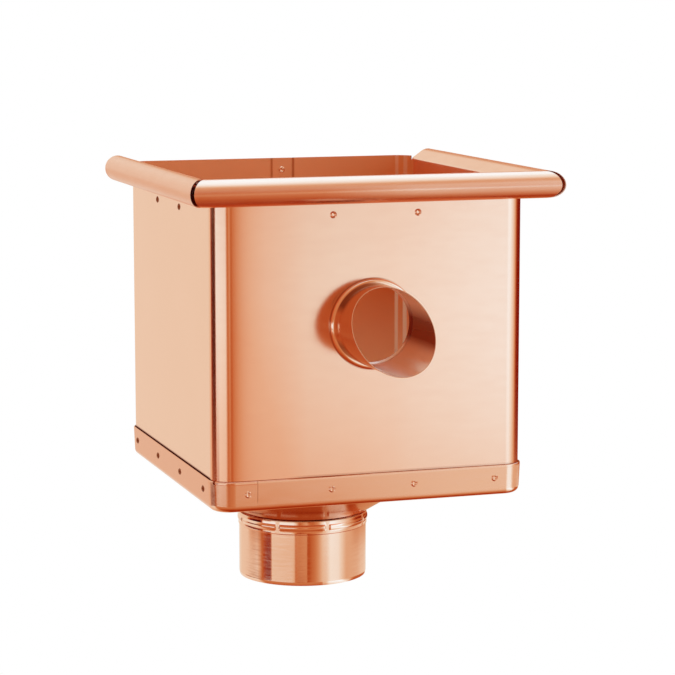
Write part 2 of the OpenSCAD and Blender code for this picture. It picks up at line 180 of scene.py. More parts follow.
def blend(tree, share, first, second):
    node = add_node(tree, "ShaderNodeMix", data_type="FLOAT")
    for socket, source in zip((node.inputs[0], node.inputs[2], node.inputs[3]), (share, first, second)):
        feed(tree, socket, source)
    return node.outputs[0]


# %% A band as a ramp
def band(tree, value, stops, low, high):
    """The light of a band's stops, over a value that runs from low to high"""
    node = add_node(tree, "ShaderNodeValToRGB")
    elements = node.color_ramp.elements
    while len(elements) < len(stops):
        elements.new(0.5)
    for element, (place, level) in zip(elements, stops):
        element.position = (place - low) / (high - low)
    for element, (place, level) in zip(elements, stops):
        light = light_level(level)
        element.color = (light, light, light, 1)
    tree.links.new(spread(tree, value, low, high), node.inputs[0])
    return node.outputs[0]


# %% Directions in the sky
world = bpy.data.worlds.new("copper_studio")
world.use_nodes = True
scene.world = world
sky = world.node_tree
sky.nodes.clear()
direction = add_node(sky, "ShaderNodeSeparateXYZ")
sky.links.new(add_node(sky, "ShaderNodeTexCoord").outputs["Generated"], direction.inputs[0])
east, north, up = direction.outputs
degrees = 180 / math.pi
compass = calculate(sky, "ARCTAN2", east, calculate(sky, "MULTIPLY", north, -1.0))
compass = calculate(sky, "MULTIPLY", compass, degrees)
height = calculate(sky, "MULTIPLY", calculate(sky, "ARCSINE", up), degrees)
print("directions take", len(sky.nodes), "nodes")

# %% Light of the slices
wall_light = band(sky, compass, wall_band, -180, 180)
spigot_light = band(sky, compass, spigot_band, -180, 180)
tray_light = band(sky, compass, tray_band, -180, 180)
over_spigot = (height, -13.3, -10.4)
over_tray = (height, -14.7, -14.1)
slices = blend(sky, spread(sky, *over_spigot), spigot_light, wall_light)
slices = blend(sky, spread(sky, *over_tray), tray_light, slices)
print("with the slices,", len(sky.nodes), "nodes")

# %% [markdown]
# A large lamp stands behind the box on the right, as a bright patch in the sky. The slices lie over the
# room in a belt below eye level, and its soft edges hide where one turns into the other.

# %% Light of the rest
full_light = 0.985
forward = (north, 0.1, -0.1)
overhead = (height, 25.0, 45.0)
rise_light = band(sky, height, rise_band, -90, 90)
back_light = band(sky, compass, back_band, -180, 180)
front_light = band(sky, east, front_band, 0, 1)
side_light = blend(sky, spread(sky, *forward), back_light, front_light)
side_light = calculate(sky, "DIVIDE", side_light, light_level(plain_level))
side_light = blend(sky, spread(sky, *overhead), side_light, 1.0)
room_light = calculate(sky, "MINIMUM", calculate(sky, "MULTIPLY", rise_light, side_light), full_light)
lamp_left, lamp_right, lamp_foot = (compass, 100, 120), (compass, 170, 162), (height, 22, 28)
room_light = blend(sky, fade(sky, lamp_left, lamp_right, lamp_foot), room_light, full_light)
belt_foot, belt_top = (height, -17.6, -15.2), (height, -2.4, -3.9)
belt = calculate(sky, "MINIMUM", spread(sky, *belt_foot), spread(sky, *belt_top))
light = blend(sky, belt, room_light, slices)
print("with the rest,", len(sky.nodes), "nodes")

# %% [markdown]
# Between copper things, light turns redder each time it is mirrored, so the dark parts of the room are
# redder than the pale ones. Green and blue are the light raised to a power, and the result is divided by
# the copper's own colour, so that full light comes back white from the metal. The camera itself sees
# white paper.

# %% Tint of the sky
copper = (0.95, 0.58, 0.43)
red_power, green_power, blue_power = 1.0, 3.5, 5.6
white = (1, 1, 1, 1)
tint = add_node(sky, "ShaderNodeCombineColor")
for socket, power, share in zip(tint.inputs, (red_power, green_power, blue_power), copper):
    feed(sky, socket, calculate(sky, "DIVIDE", calculate(sky, "POWER", light, power), share))
studio = add_node(sky, "ShaderNodeBackground")
sky.links.new(tint.outputs[0], studio.inputs["Color"])
paper = add_node(sky, "ShaderNodeBackground")
paper.inputs["Color"].default_value = white
seen = add_node(sky, "ShaderNodeMixShader")
sky.links.new(add_node(sky, "ShaderNodeLightPath").outputs["Is Camera Ray"], seen.inputs[0])
sky.links.new(studio.outputs[0], seen.inputs[1])
sky.links.new(paper.outputs[0], seen.inputs[2])
sky.links.new(seen.outputs[0], add_node(sky, "ShaderNodeOutputWorld").inputs[0])
scene.view_settings.view_transform = "Standard"
scene.view_settings.look = "None"
print("sky ends in", sky.nodes[-1].bl_idname)

# %% [markdown]
# The floor is plain white paper under the spigot. It could be lit like paper, but its light would then
# fall on the copper from below. So it glows white for the camera alone, and no other ray sees it.

# %% Floor
paper_white = bpy.data.materials.new("paper_white")
paper_white.use_nodes = True
paper_white.node_tree.nodes.clear()
glow = add_node(paper_white.node_tree, "ShaderNodeEmission")
glow.inputs["Color"].default_value = white
output = add_node(paper_white.node_tree, "ShaderNodeOutputMaterial")
paper_white.node_tree.links.new(glow.outputs[0], output.inputs[0])
floor_half, floor_z = 3, -1 * mm
floor_mesh = bpy.data.meshes.new("studio_floor")
floor_mesh.from_pydata([(x * floor_half, y * floor_half, floor_z)
                        for x, y in ((-1, -1), (1, -1), (1, 1), (-1, 1))], [], [(0, 1, 2, 3)])
floor_mesh.materials.append(paper_white)
floor = bpy.data.objects.new("studio_floor", floor_mesh)
scene.collection.objects.link(floor)
for ray in ("visible_glossy", "visible_diffuse", "visible_transmission", "visible_shadow"):
    setattr(floor, ray, False)
print("floor laid", floor_half * 2, "m wide")

# %% [markdown]
# The finish is bright rolled copper. Rolling leaves a fine grain along the sheet, handling leaves a faint
# cloudiness, and a flat sheet is never quite flat. Painted pictures could give these, but noise needs no
# file and has no seams. One noise varies the roughness, one the colour, and one the bump.

# %% Copper finish
def noise(tree, place, scale, detail):
    node = add_node(tree, "ShaderNodeTexNoise")
    node.inputs["Scale"].default_value = scale
    node.inputs["Detail"].default_value = detail
    tree.links.new(place, node.inputs["Vector"])
    return node.outputs[0]


def copper_finish(name, colour, cloudy, smooth, rough, grain, wave, metallic=1.0):
    """Copper whose gloss varies from smooth to rough along a stretched grain, on a slightly wavy sheet"""
    made = bpy.data.materials.new(name)
    made.use_nodes = True
    tree = made.node_tree
    shader = tree.nodes["Principled BSDF"]
    shader.inputs["Metallic"].default_value = metallic
    shader.inputs["Specular Tint"].default_value = (1.0, 0.90, 0.84, 1)
    place = add_node(tree, "ShaderNodeTexCoord").outputs["Object"]
    stretch = add_node(tree, "ShaderNodeMapping")
    stretch.inputs["Scale"].default_value = grain
    tree.links.new(place, stretch.inputs["Vector"])
    fine = noise(tree, stretch.outputs[0], 1.0, 3.0)
    tree.links.new(spread(tree, fine, 0.3, 0.7, smooth, rough), shader.inputs["Roughness"])
    shade = add_node(tree, "ShaderNodeMix", data_type="RGBA")
    shade.inputs[6].default_value = (*colour, 1)
    shade.inputs[7].default_value = (*cloudy, 1)
    tree.links.new(spread(tree, noise(tree, place, 14.0, 4.0), 0.35, 0.7), shade.inputs[0])
    tree.links.new(shade.outputs[2], shader.inputs["Base Color"])
    bump = add_node(tree, "ShaderNodeBump")
    bump.inputs["Strength"].default_value = wave
    bump.inputs["Distance"].default_value = 1 * mm
    tree.links.new(noise(tree, place, 9.0, 1.0), bump.inputs["Height"])
    tree.links.new(bump.outputs[0], shader.inputs["Normal"])
    return made


# %% Finishes of the bright outside
cloudy = (0.94, 0.57, 0.418)
rolled, turned, bored = (60, 60, 200), (60, 60, 900), (60, 60, 300)
wall_copper = copper_finish("wall_copper", copper, cloudy, 0.14, 0.16, rolled, 0.02)
tray_copper = copper_finish("tray_copper", copper, cloudy, 0.12, 0.16, rolled, 0.03)
bead_copper = copper_finish("bead_copper", copper, cloudy, 0.22, 0.27, rolled, 0.03)
funnel_copper = copper_finish("funnel_copper", copper, cloudy, 0.10, 0.16, rolled, 0.05)
outlet_copper = copper_finish("outlet_copper", copper, cloudy, 0.05, 0.11, turned, 0.05)
ring_copper = copper_finish("ring_copper", copper, cloudy, 0.08, 0.14, bored, 0.05)
print("bright finishes:", [m.name for m in bpy.data.materials if m.name.endswith("copper")])

# %% [markdown]
# Where copper faces copper, as inside the box, inside the rolls and in the spout's bore, light mirrored
# many times turns deep red. Many bounces of light could bring that out, but slowly; a duller finish of
# that colour, with that light painted in, looks alike, and inside the rolls the dark red is painted shade.
# The spout is of browner tube, the rivets are a little paler, and those on the sides are painted darker,
# as painted shade on their heads.

# %% Finishes of the inside, the spout and the rivets
drawn, even = (300, 60, 300), (900, 900, 900)
inside, inside_cloudy = (0.97, 0.43, 0.20), (0.95, 0.41, 0.19)
deep, deep_cloudy = (0.80, 0.13, 0.03), (0.75, 0.11, 0.02)
brown, brown_cloudy = (0.74, 0.37, 0.23), (0.70, 0.34, 0.21)
rivet_shade, rivet_shade_cloudy = (0.34, 0.10, 0.04), (0.30, 0.08, 0.03)
pale = (0.93, 0.60, 0.45)
# The inside finish has the light of many bounces painted into its colour.
dull_copper = copper_finish("dull_copper", inside, inside_cloudy, 0.30, 0.36, bored, 0.05, metallic=0.2)
# The inside of the rolls is painted dark red, as painted shade.
shaded_roll_copper = copper_finish("shaded_roll_copper", deep, deep_cloudy, 0.4, 0.5, rolled, 0.0, metallic=0.3)
bore_copper = copper_finish("bore_copper", copper, cloudy, 0.08, 0.14, bored, 0.05, metallic=0.3)
spout_copper = copper_finish("spout_copper", brown, brown_cloudy, 0.08, 0.14, drawn, 0.05)
rivet_copper = copper_finish("rivet_copper", pale, cloudy, 0.15, 0.25, even, 0.0)
# The side rivets' finish is painted darker, as painted shade on their heads.
shaded_rivet_copper = copper_finish("shaded_rivet_copper", rivet_shade, rivet_shade_cloudy, 0.3, 0.4, even, 0.0)
print("all finishes:", len(bpy.data.materials) - 1)

# %% [markdown]
# Some finishes change over the part, with light and shade painted in: dark lines of painted shade at
# joints and seams, shaded corners, and warm or pale painted reflections where the real sheet mirrors things
# that this studio lacks. Vertex colours could hold them, but would need fine meshes. Here a tone is a second
# colour, mixed in by the place on the piece, so it stays on the sheet from every side.

# %% Helpers for tones
def axes(made):
    """The place on a piece, as three sockets in millimetres"""
    tree = made.node_tree
    scaled = add_node(tree, "ShaderNodeVectorMath", operation="SCALE")
    scaled.inputs["Scale"].default_value = 1 / mm
    tree.links.new(add_node(tree, "ShaderNodeTexCoord").outputs["Object"], scaled.inputs[0])
    place = add_node(tree, "ShaderNodeSeparateXYZ")
    tree.links.new(scaled.outputs[0], place.inputs[0])
    return place.outputs


def tone(made, share, colour):
    """Mixes another colour into a finish, as much as share says"""
    tree = made.node_tree
    base = tree.nodes["Principled BSDF"].inputs["Base Color"]
    mixed = add_node(tree, "ShaderNodeMix", data_type="RGBA")
    tree.links.new(share, mixed.inputs[0])
    tree.links.new(base.links[0].from_socket, mixed.inputs[6])
    mixed.inputs[7].default_value = (*colour, 1)
    tree.links.new(mixed.outputs[2], base)


# %% [markdown]
# A dark line of painted shade lies on the walls just above the tray's edge, where the two meet, stronger
# on the left. Another lies round the spout's stop bead, on its left, so it depends on the distance from
# the spout's axis.

# %% Painted shade on the walls
tree = wall_copper.node_tree
x, y, z = axes(wall_copper)
tray_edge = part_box("base_tray")[1].z / mm
above_tray = (z, tray_edge + 1.9, tray_edge + 1.0)
less_to_right = (x, -110, 105, 0.95, 0.25)
tray_joint_shade = fade(tree, above_tray, less_to_right)
spout_low, spout_high = (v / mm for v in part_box("overflow_spout"))
spout_z = (spout_low.z + spout_high.z) / 2
rise = calculate(tree, "SUBTRACT", z, spout_z)
reach = calculate(tree, "ADD", calculate(tree, "MULTIPLY", x, x), calculate(tree, "MULTIPLY", rise, rise))
reach = calculate(tree, "SQRT", reach)
round_bead, left_of_bead, near_front = (reach, 34.4, 33.9), (x, 24, 4, 0.0, 0.6), (y, -150, -160)
bead_joint_shade = fade(tree, round_bead, left_of_bead, near_front)
joint_shade = (0.28, 0.045, 0.012)
# The tone is painted shade along the tray's joint and round the stop bead.
tone(wall_copper, calculate(tree, "MAXIMUM", tray_joint_shade, bead_joint_shade), joint_shade)
print("tray edge at", round(tray_edge, 1), "mm, spout at", round(spout_z, 1), "mm")

# %% [markdown]
# The front wall is warmer at its left, low down, and faintly on its right half: a painted reflection, as
# if something of copper stood there. Three soft patches are added up, and kept to the front.

# %% Painted warm reflections on the front wall
left_part = fade(tree, (x, -50, -95), (z, 300, 120, 0.7, 1.0), (x, -109, -105, 0.55, 1.0))
low_part = fade(tree, (z, 250, 106, 0.0, 0.7), (x, 30, -20, 0.15, 1.0))
right_part = fade(tree, (x, -25, 15, 0.0, 0.3))
on_front = fade(tree, (y, -156, -160))
warm_reflection = calculate(tree, "ADD", calculate(tree, "ADD", left_part, low_part), right_part)
reflected_copper = (0.93, 0.46, 0.29)
# The warm patches are a painted reflection of copper.
tone(wall_copper, calculate(tree, "MULTIPLY", warm_reflection, on_front), reflected_copper)
print("wall finish has", len(tree.nodes), "nodes")

# %% [markdown]
# Inside, the back is painted deeper to the right and paler low down, as painted shade and light. The lap
# of the seam shows as two dark lines of painted shade on the back, and the bend in its right corner as two
# pale strips of painted highlight, brighter below the rim.

# %% Painted light and shade of the inside
tree = dull_copper.node_tree
x, y, z = axes(dull_copper)
to_the_right, low_down, on_back = (x, 10, 110), (z, 215, 150), (y, 70, 75)
# Painted shade to the right and painted light low down.
tone(dull_copper, fade(tree, to_the_right), (0.86, 0.31, 0.12))
tone(dull_copper, fade(tree, low_down), (1.0, 0.66, 0.44))
step_shade = fade(tree, (x, 16.4, 17.2), (x, 19.6, 18.8))
end_shade = fade(tree, (x, -1.4, -0.8, 0.0, 0.6), (x, 0.8, 0.2))
seam_shade = calculate(tree, "MAXIMUM", step_shade, end_shade)
# Painted shade of the seam's step and end.
tone(dull_copper, calculate(tree, "MULTIPLY", seam_shade, fade(tree, on_back)), (0.62, 0.17, 0.05))
# Painted highlights on the right corner's bend.
first_highlight = fade(tree, (x, 106.8, 107.8), (x, 110.4, 109.6))
second_highlight = fade(tree, (x, 113.2, 114.0), (x, 116.6, 115.8))
bend_highlights = calculate(tree, "MAXIMUM", first_highlight, second_highlight)
below_rim = (z, 260, 235, 0.25, 1.0)
tone(dull_copper, calculate(tree, "MULTIPLY", bend_highlights, fade(tree, below_rim, on_back)), (1.0, 0.92, 0.82))
print("inside finish has", len(tree.nodes), "nodes")

# %% [markdown]
# The spout is painted nearly black at its root, on its left above and below the middle: painted shade and
# a painted reflection of the stop bead. The bore has a painted shade on its right side, a pale painted
# highlight on its lower left and a browner painted reflection on its lower right.

# %% Painted shade and highlights of the spout
tree = spout_copper.node_tree
x, y, z = axes(spout_copper)
away = calculate(tree, "ABSOLUTE", calculate(tree, "SUBTRACT", z, spout_z))
at_root, off_middle, not_right = (y, -190, -182, 0.0, 0.92), (away, 9, 15), (x, 14, 0)
# Painted shade and reflection of the stop bead on the spout.
tone(spout_copper, fade(tree, at_root, off_middle, not_right), (0.16, 0.015, 0.004))
tree = bore_copper.node_tree
x, y, z = axes(bore_copper)
bore_shade = fade(tree, (x, 12, 24), (z, spout_z + 16, spout_z + 4), (z, spout_z - 24, spout_z - 12))
bore_highlight = fade(tree, (z, spout_z - 12, spout_z - 22), (y, -184, -190, 0.0, 0.8), (x, 8, -2))
low_right = fade(tree, (z, spout_z - 9, spout_z - 18), (x, 2, 12))
# Painted shade, highlight and reflection in the bore.
tone(bore_copper, bore_shade, (0.25, 0.02, 0.005))
tone(bore_copper, bore_highlight, (1.0, 0.84, 0.72))
tone(bore_copper, low_right, (0.80, 0.36, 0.20))
print("bore finish has", len(tree.nodes), "nodes")

# %% [markdown]
# The funnel is in the tray's shade on its left, painted into its colour. The tray is painted darker along
# its left side as painted shade, and the end of its corner tab shows as a thin dark line of painted shadow
# on the front.

# %% Painted shade of the funnel and the tray
x, y, z = axes(funnel_copper)
tone(funnel_copper, fade(funnel_copper.node_tree, (x, 26, 6)), (0.55, 0.19, 0.065))
tree = tray_copper.node_tree
x, y, z = axes(tray_copper)
tab_edge_shadow = fade(tree, (x, -89.6, -89.0, 0.0, 0.5), (x, -88.0, -88.6), (y, -165, -168), (z, 96, 99))
tray_left_shade = fade(tree, (x, -115, -119), (y, -164, -158))
# Painted shadow at the tab's end and painted shade along the tray's left side.
tone(tray_copper, tab_edge_shadow, (0.55, 0.22, 0.12))
tone(tray_copper, tray_left_shade, (0.85, 0.36, 0.20))
print("tray finish has", len(tree.nodes), "nodes")

# %% [markdown]
# The left bead is painted darker than the front one, as painted shade, up to the mitre between them, which
# lies where y minus x has one value. The front bead has a warm painted reflection in a band along the
# middle of its roll, strongest at its left end.

# %% Painted shade and reflection of the beads
tree = bead_copper.node_tree
x, y, z = axes(bead_copper)
bead_r = 10.0
bead_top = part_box("left_bead")[1].z / mm
bead_mid = bead_top - bead_r
wall_low, wall_high = (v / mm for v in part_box("wall_wrap"))
mitre = wall_high.x + wall_low.y
across = calculate(tree, "SUBTRACT", y, x)
behind_mitre, before_mitre = (across, mitre - 1, mitre), (across, mitre, mitre - 1)
less_on_top = (z, bead_top - 2, bead_top - 12, 0.3, 1.0)
# Painted shade on the left bead.
tone(bead_copper, fade(tree, (x, -116, -119), behind_mitre, less_on_top), (0.84, 0.36, 0.20))
under_top, over_foot = (z, bead_mid + 4, bead_mid + 0.5), (z, bead_mid - 7, bead_mid - 4)
reflection_band = fade(tree, (y, -186, -189), before_mitre, under_top, over_foot)
less_at_middle, more_at_right = (x, -45, 25, 0.9, 0.15), (x, 40, 90, 0.0, 0.22)
along = calculate(tree, "ADD", fade(tree, less_at_middle), fade(tree, more_at_right))
# Painted warm reflection on the front bead.
tone(bead_copper, calculate(tree, "MULTIPLY", reflection_band, along), (0.78, 0.25, 0.10))
print("bead finish has", len(tree.nodes), "nodes")

# %% [markdown]
# Every sheet here has two faces and a cut edge. It could be a surface with a Solidify modifier, but then
# the edges at holes and mitres would not be exact. Instead two matching lists of points are joined: one
# face is laid on each list, and wherever a face has no neighbour, a narrow edge face closes the sheet.

# %% Joining two faces to a sheet
def sheet_mesh(name, outer, inner, faces):
    """A closed sheet from points on its two sides, and faces over those points"""
    used = sorted({i for face in faces for i in face})
    place = {old: new for new, old in enumerate(used)}
    faces = [[place[i] for i in face] for face in faces]
    count = len(used)
    edges = {(a, b) for face in faces for a, b in zip(face, face[1:] + face[:1])}
    rims = [(b, a, a + count, b + count) for a, b in edges if (b, a) not in edges]
    backs = [[i + count for i in reversed(face)] for face in faces]
    mesh = bpy.data.meshes.new(name)
    points = [outer[i] for i in used] + [inner[i] for i in used]
    mesh.from_pydata([Vector(p) * mm for p in points], [], faces + backs + sorted(rims))
    for face in mesh.polygons[len(faces):2 * len(faces)]:
        face.material_index = 1
    return mesh


def grid_faces(rows, columns, closed=False, keep=lambda row, column: True):
    """Four-sided faces over points that are stored row by row"""
    last = columns if closed else columns - 1
    return [[r * columns + c, r * columns + (c + 1) % columns,
             (r + 1) * columns + (c + 1) % columns, (r + 1) * columns + c]
            for r in range(rows - 1) for c in range(last) if keep(r, c)]


# %% [markdown]
# A mesh becomes a piece when it rides on the frame and the CAD nodes that it stands for are hidden. It
# takes two finishes, one for each face. Edges sharper than a folded sheet's are marked, and weighted
# normals keep the flats flat.

# %% Placing a piece
sharp_edge = math.radians(40)


def place_piece(mesh, finish, inside, slot, *nodes):
    """Puts a mesh in the frame as a piece that stands for CAD nodes"""
    work = bmesh.new()
    work.from_mesh(mesh)
    bmesh.ops.recalc_face_normals(work, faces=work.faces)
    work.to_mesh(mesh)
    work.free()
    mesh.shade_smooth()
    mesh.set_sharp_from_angle(angle=sharp_edge)
    mesh.materials.append(finish)
    mesh.materials.append(inside)
    piece = bpy.data.objects.new(mesh.name, mesh)
    scene.collection.objects.link(piece)
    even_normals = piece.modifiers.new("even_normals", "WEIGHTED_NORMAL")
    even_normals.keep_sharp = True
    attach(piece, "root")
    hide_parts(*nodes)
    print(piece.name, "has", len(mesh.polygons), "faces")
    return piece


# %% [markdown]
# The wall is one long sheet, folded round four corners and lapped at the back, where its inner end is
# stepped in by one thickness. Planes with a Bevel could make the folds; a path seen from above, then
# raised, is exact and keeps it one sheet. The back stands a little higher than the sides.

# %% Sizes of the wall
sheet = 0.8
gap = 0.1
corner = 15.0
rim_step = 3.0
side_x, front_y, back_y = wall_high.x, wall_low.y, wall_high.y
straight_x, straight_front, straight_back = side_x - corner, front_y + corner, back_y - corner
wall_z, rim_z = wall_low.z, wall_high.z
side_rim_z = rim_z - rim_step
seam_x, seam_end, seam_step = 0.0, 16.5, 3.0
print("wall, mm:", round(side_x * 2, 1), "wide,", round(back_y - front_y, 1), "deep")

# %% Corners of the wall
turns = 24


def bend(x, y, radius, start):
    """Points of a quarter turn with the way out at each: x, y, out_x, out_y"""
    found = []
    for i in range(turns + 1):
        angle = math.radians(start + 90 * i / turns)
        way = (math.cos(angle), math.sin(angle))
        found.append((x + radius * way[0], y + radius * way[1], *way))
    return found


def around(radius):
    """A box outline with rounded corners, from the front left round to the back left"""
    return (bend(-straight_x, straight_front, radius, 180) + bend(straight_x, straight_front, radius, 270)
            + bend(straight_x, straight_back, radius, 0) + bend(-straight_x, straight_back, radius, 90))


front_left, front_right, back_right, back_left = (
    around(corner)[i * (turns + 1):(i + 1) * (turns + 1)] for i in range(4))
print("each corner has", len(front_left), "points")

# %% [markdown]
# Folded sheet springs back a little. Beside the left front fold the real panel runs on in a soft curve
# before it is flat, which draws out the reflection there. The fold's last step is left out, and the curve
# dies away.

# %% Path of the wall
spring = 0.36
spring_places = (1.5, 3, 5, 7.5, 10.5, 14, 18, 24)
last_turn = math.radians(90 / turns)
spring_length = spring / math.tan(last_turn)
set_back = spring - corner * (1 - math.cos(last_turn))
fold = [(x, y + set_back, out_x, out_y) for x, y, out_x, out_y in front_left[:-1]]
flat = []
for place in spring_places:
    share = math.exp(-place / spring_length) if place < spring_places[-1] else 0.0
    tilt = last_turn * share
    flat.append((fold[-1][0] + place, front_y + spring * share, -math.sin(tilt), -math.cos(tilt)))
lap_y = back_y - sheet - gap
lapped = [(seam_end + seam_step, back_y, 0, 1), (seam_end, lap_y, 0, 1), (seam_x, lap_y, 0, 1)]
wall_path = [(seam_end, back_y, 0, 1)] + back_left + fold + flat + front_right + back_right + lapped
front_column = len(back_left) + len(fold) + len(flat)
tall_turns = 18
tall_start = len(wall_path) - len(lapped) - 1 - tall_turns
tall_columns = set(range(tall_turns + 1)) | set(range(tall_start, len(wall_path)))
print("wall path:", len(wall_path), "columns, front panel after column", front_column)

# %% [markdown]
# The spout's hole is cut in the front panel. A Boolean would do it; here four faces run from the panel's
# corners to quarters of a ring of points, so the hole is exact and the flat panel keeps a single normal.

# %% Faces round a hole
ring_steps = 96


def circle(radius, steps):
    angles = [2 * math.pi * i / steps for i in range(steps)]
    return [(radius * math.cos(angle), radius * math.sin(angle)) for angle in angles]


def quarters(corners, ring, first_quarter):
    """Four faces between four corners and the ring inside them"""
    count = len(ring)
    faces = []
    for side in range(4):
        start = first_quarter[side]
        stop = first_quarter[(side + 1) % 4]
        length = (stop - start) % count
        arc = [ring[(start + i) % count] for i in range(length + 1)]
        faces.append(corners[side] + list(reversed(arc)))
    return faces


# %% Wall sheet
spout_r = 30.0


def make_wall():
    levels = (wall_z, side_rim_z, rim_z)
    columns = len(wall_path)
    outer = [(x, y, z) for z in levels for x, y, _, _ in wall_path]
    inner = [(x - sheet * out_x, y - sheet * out_y, z) for z in levels for x, y, out_x, out_y in wall_path]
    ring = list(range(len(outer), len(outer) + ring_steps))
    hole = [(x, spout_z + rise) for x, rise in circle(spout_r + gap, ring_steps)]
    outer += [(x, front_y, z) for x, z in hole]
    inner += [(x, front_y + sheet, z) for x, z in hole]
    faces = grid_faces(3, columns, keep=lambda r, c: c != front_column and (r == 0 or c in tall_columns))
    left, right = front_column, front_column + 1
    up_left, up_right = left + columns, right + columns
    corners = [[left, right], [right, up_right], [up_right, up_left], [up_left, left]]
    eighth = ring_steps // 8
    faces += quarters(corners, ring, [5 * eighth, 7 * eighth, eighth, 3 * eighth])
    return sheet_mesh("wall_sheet", outer, inner, faces)


place_piece(make_wall(), wall_copper, dull_copper, "copper_wall", "wall_wrap")

# %% [markdown]
# The tray is a pan pressed up round the walls. A bevelled box would be quick, but has no rounded upper
# edge and no lean. Its edge is a stack of rounded outlines instead: over the edge, down the upstand,
# round the bend and on to the floor. Two small notches are left open in the front corners' upper edge.

# %% Sizes of the tray
tray_low, tray_high = (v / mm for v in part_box("base_tray"))
tray_z, tray_top = tray_low.z, tray_high.z
tray_bend, edge_r = 5.0, 0.7
tray_lean = math.tan(math.radians(2.5))
bend_z = tray_z + tray_bend
tray_corner = corner + gap + sheet
notch_z = tray_top - 2.2
edge_steps, bend_steps = 4, 10
funnel_r, funnel_y = 96.0, -30.0
print("tray, mm:", round(tray_top - tray_z, 1), "high")

# %% Tray
def tray_stack():
    """The upstand's levels from the top: inset and height outside, then inset and height inside"""
    stack = []
    for i in range(edge_steps + 1):
        turn = math.radians(90 - 90 * i / edge_steps)
        z = tray_top - edge_r * (1 - math.sin(turn))
        out = tray_lean * (z - bend_z)
        stack.append((edge_r * (1 - math.cos(turn)) - out, z, sheet - out, z))
    out = tray_lean * (notch_z - bend_z)
    stack.append((-out, notch_z, sheet - out, notch_z))
    inside = tray_bend - sheet
    for i in range(bend_steps + 1):
        turn = math.radians(90 * i / bend_steps)
        stack.append((tray_bend * (1 - math.cos(turn)), bend_z - tray_bend * math.sin(turn),
                      tray_bend - inside * math.cos(turn), bend_z - inside * math.sin(turn)))
    return stack


def make_tray():
    stack = tray_stack()
    outer = [(x, y, z) for inset, z, _, _ in stack for x, y, _, _ in around(tray_corner - inset)]
    inner = [(x, y, z) for _, _, inset, z in stack for x, y, _, _ in around(tray_corner - inset)]
    columns = 4 * (turns + 1)
    left_notch, right_notch = round(turns / 3), turns + 1 + round(turns * 2 / 3)
    notches = {left_notch - 1, left_notch, right_notch - 1, right_notch}
    notch_row = edge_steps + 1
    faces = grid_faces(len(stack), columns, closed=True,
                       keep=lambda r, c: r >= notch_row or c not in notches)
    ring = list(range(len(outer), len(outer) + ring_steps))
    hole = [(x, funnel_y + y) for x, y in circle(funnel_r + gap, ring_steps)]
    outer += [(*spot, tray_z) for spot in hole]
    inner += [(*spot, tray_z + sheet) for spot in hole]
    last = (len(stack) - 1) * columns
    mids = [turns // 2 + i * (turns + 1) for i in range(4)]
    corners = [[last + c % columns for c in range(mids[i], mids[i] + turns + 2)] for i in range(4)]
    facing_corners = (230, 310, 43, 137)
    faces += quarters(corners, ring, [round(angle / 360 * ring_steps) for angle in facing_corners])
    return sheet_mesh("tray_pan", outer, inner, faces)


place_piece(make_tray(), tray_copper, dull_copper, "copper_tray", "base_tray")

# %% [markdown]
# At the left front corner the side's upstand carries on as a tab, folded round on to the front and
# riveted. It could be part of the tray's mesh, but it is a second layer there, so it is a sheet of its
# own.

# %% Corner tab
tab_end, tab_step = -89.0, 0.7


def make_tab():
    path = bend(-straight_x, straight_front - tab_step, tray_corner, 180)
    path.append((tab_end, straight_front - tab_step - tray_corner, 0, -1))
    levels = [(z, tray_lean * (z - bend_z)) for z in (bend_z, notch_z)]

    def skin(depth):
        return [(x + (out - depth) * out_x, y + (out - depth) * out_y, z)
                for z, out in levels for x, y, out_x, out_y in path]

    return sheet_mesh("tray_tab", skin(0), skin(sheet), grid_faces(2, len(path)))


place_piece(make_tab(), tray_copper, tray_copper, "copper_tray", "base_tray")

# %% [markdown]
# The rim is stiffened by a rolled bead on three sides. Its strip lies inside the wall, folds over the
# edge, slopes out and is rolled almost shut. A bevelled curve could make the roll, but not the exact
# mitres at the corners, so each point of the section is carried along to where the mitre cuts it.

# %% Section of the bead
bead_neck, bead_slope, bead_roll = 9.0, 35.0, 310.0
fold_r, leg_length = 1.2, 29.0
roll_inner = bead_r - sheet
slope = math.radians(bead_slope)
roll_top = 90 + bead_slope
roll_end = roll_top - bead_roll
fold_x = -bead_neck * math.cos(slope) - (roll_inner - fold_r) * math.sin(slope)
fold_y = -bead_neck * math.sin(slope) + (roll_inner - fold_r) * math.cos(slope)
leg_x, leg_top = fold_x - fold_r, fold_y - gap
roll_steps, fold_steps = 84, 12


def turn_points(x, y, radius, start, stop, steps):
    angles = [math.radians(start + (stop - start) * i / steps) for i in range(steps + 1)]
    return [(x + radius * math.cos(angle), y + radius * math.sin(angle)) for angle in angles]


def bead_section(skin):
    """One side of the strip, as far out of the fold as skin says"""
    return ([(leg_x - skin, leg_top - leg_length), (leg_x - skin, leg_top)]
            + turn_points(fold_x, fold_y, fold_r + skin, 180, roll_top, fold_steps)
            + turn_points(0, 0, roll_inner + skin, roll_top, roll_end, roll_steps))


section_outer, section_inner = bead_section(sheet), bead_section(0)
print("bead section:", len(section_outer), "points")

# %% [markdown]
# The mitres stand open by a few millimetres, the right-hand one a little more. The legs run between the
# wall's corner bends only, so the section's first row has a face in the middle column alone.

# %% Beads
bead_out = fold_r - sheet - gap - fold_x
bead_z = side_rim_z + gap - leg_top
mitre_gap, bead_back = 3.2, 12.0
mitre_side = mitre_gap / math.sqrt(2)
open_front, open_side = 1.2, 1.4


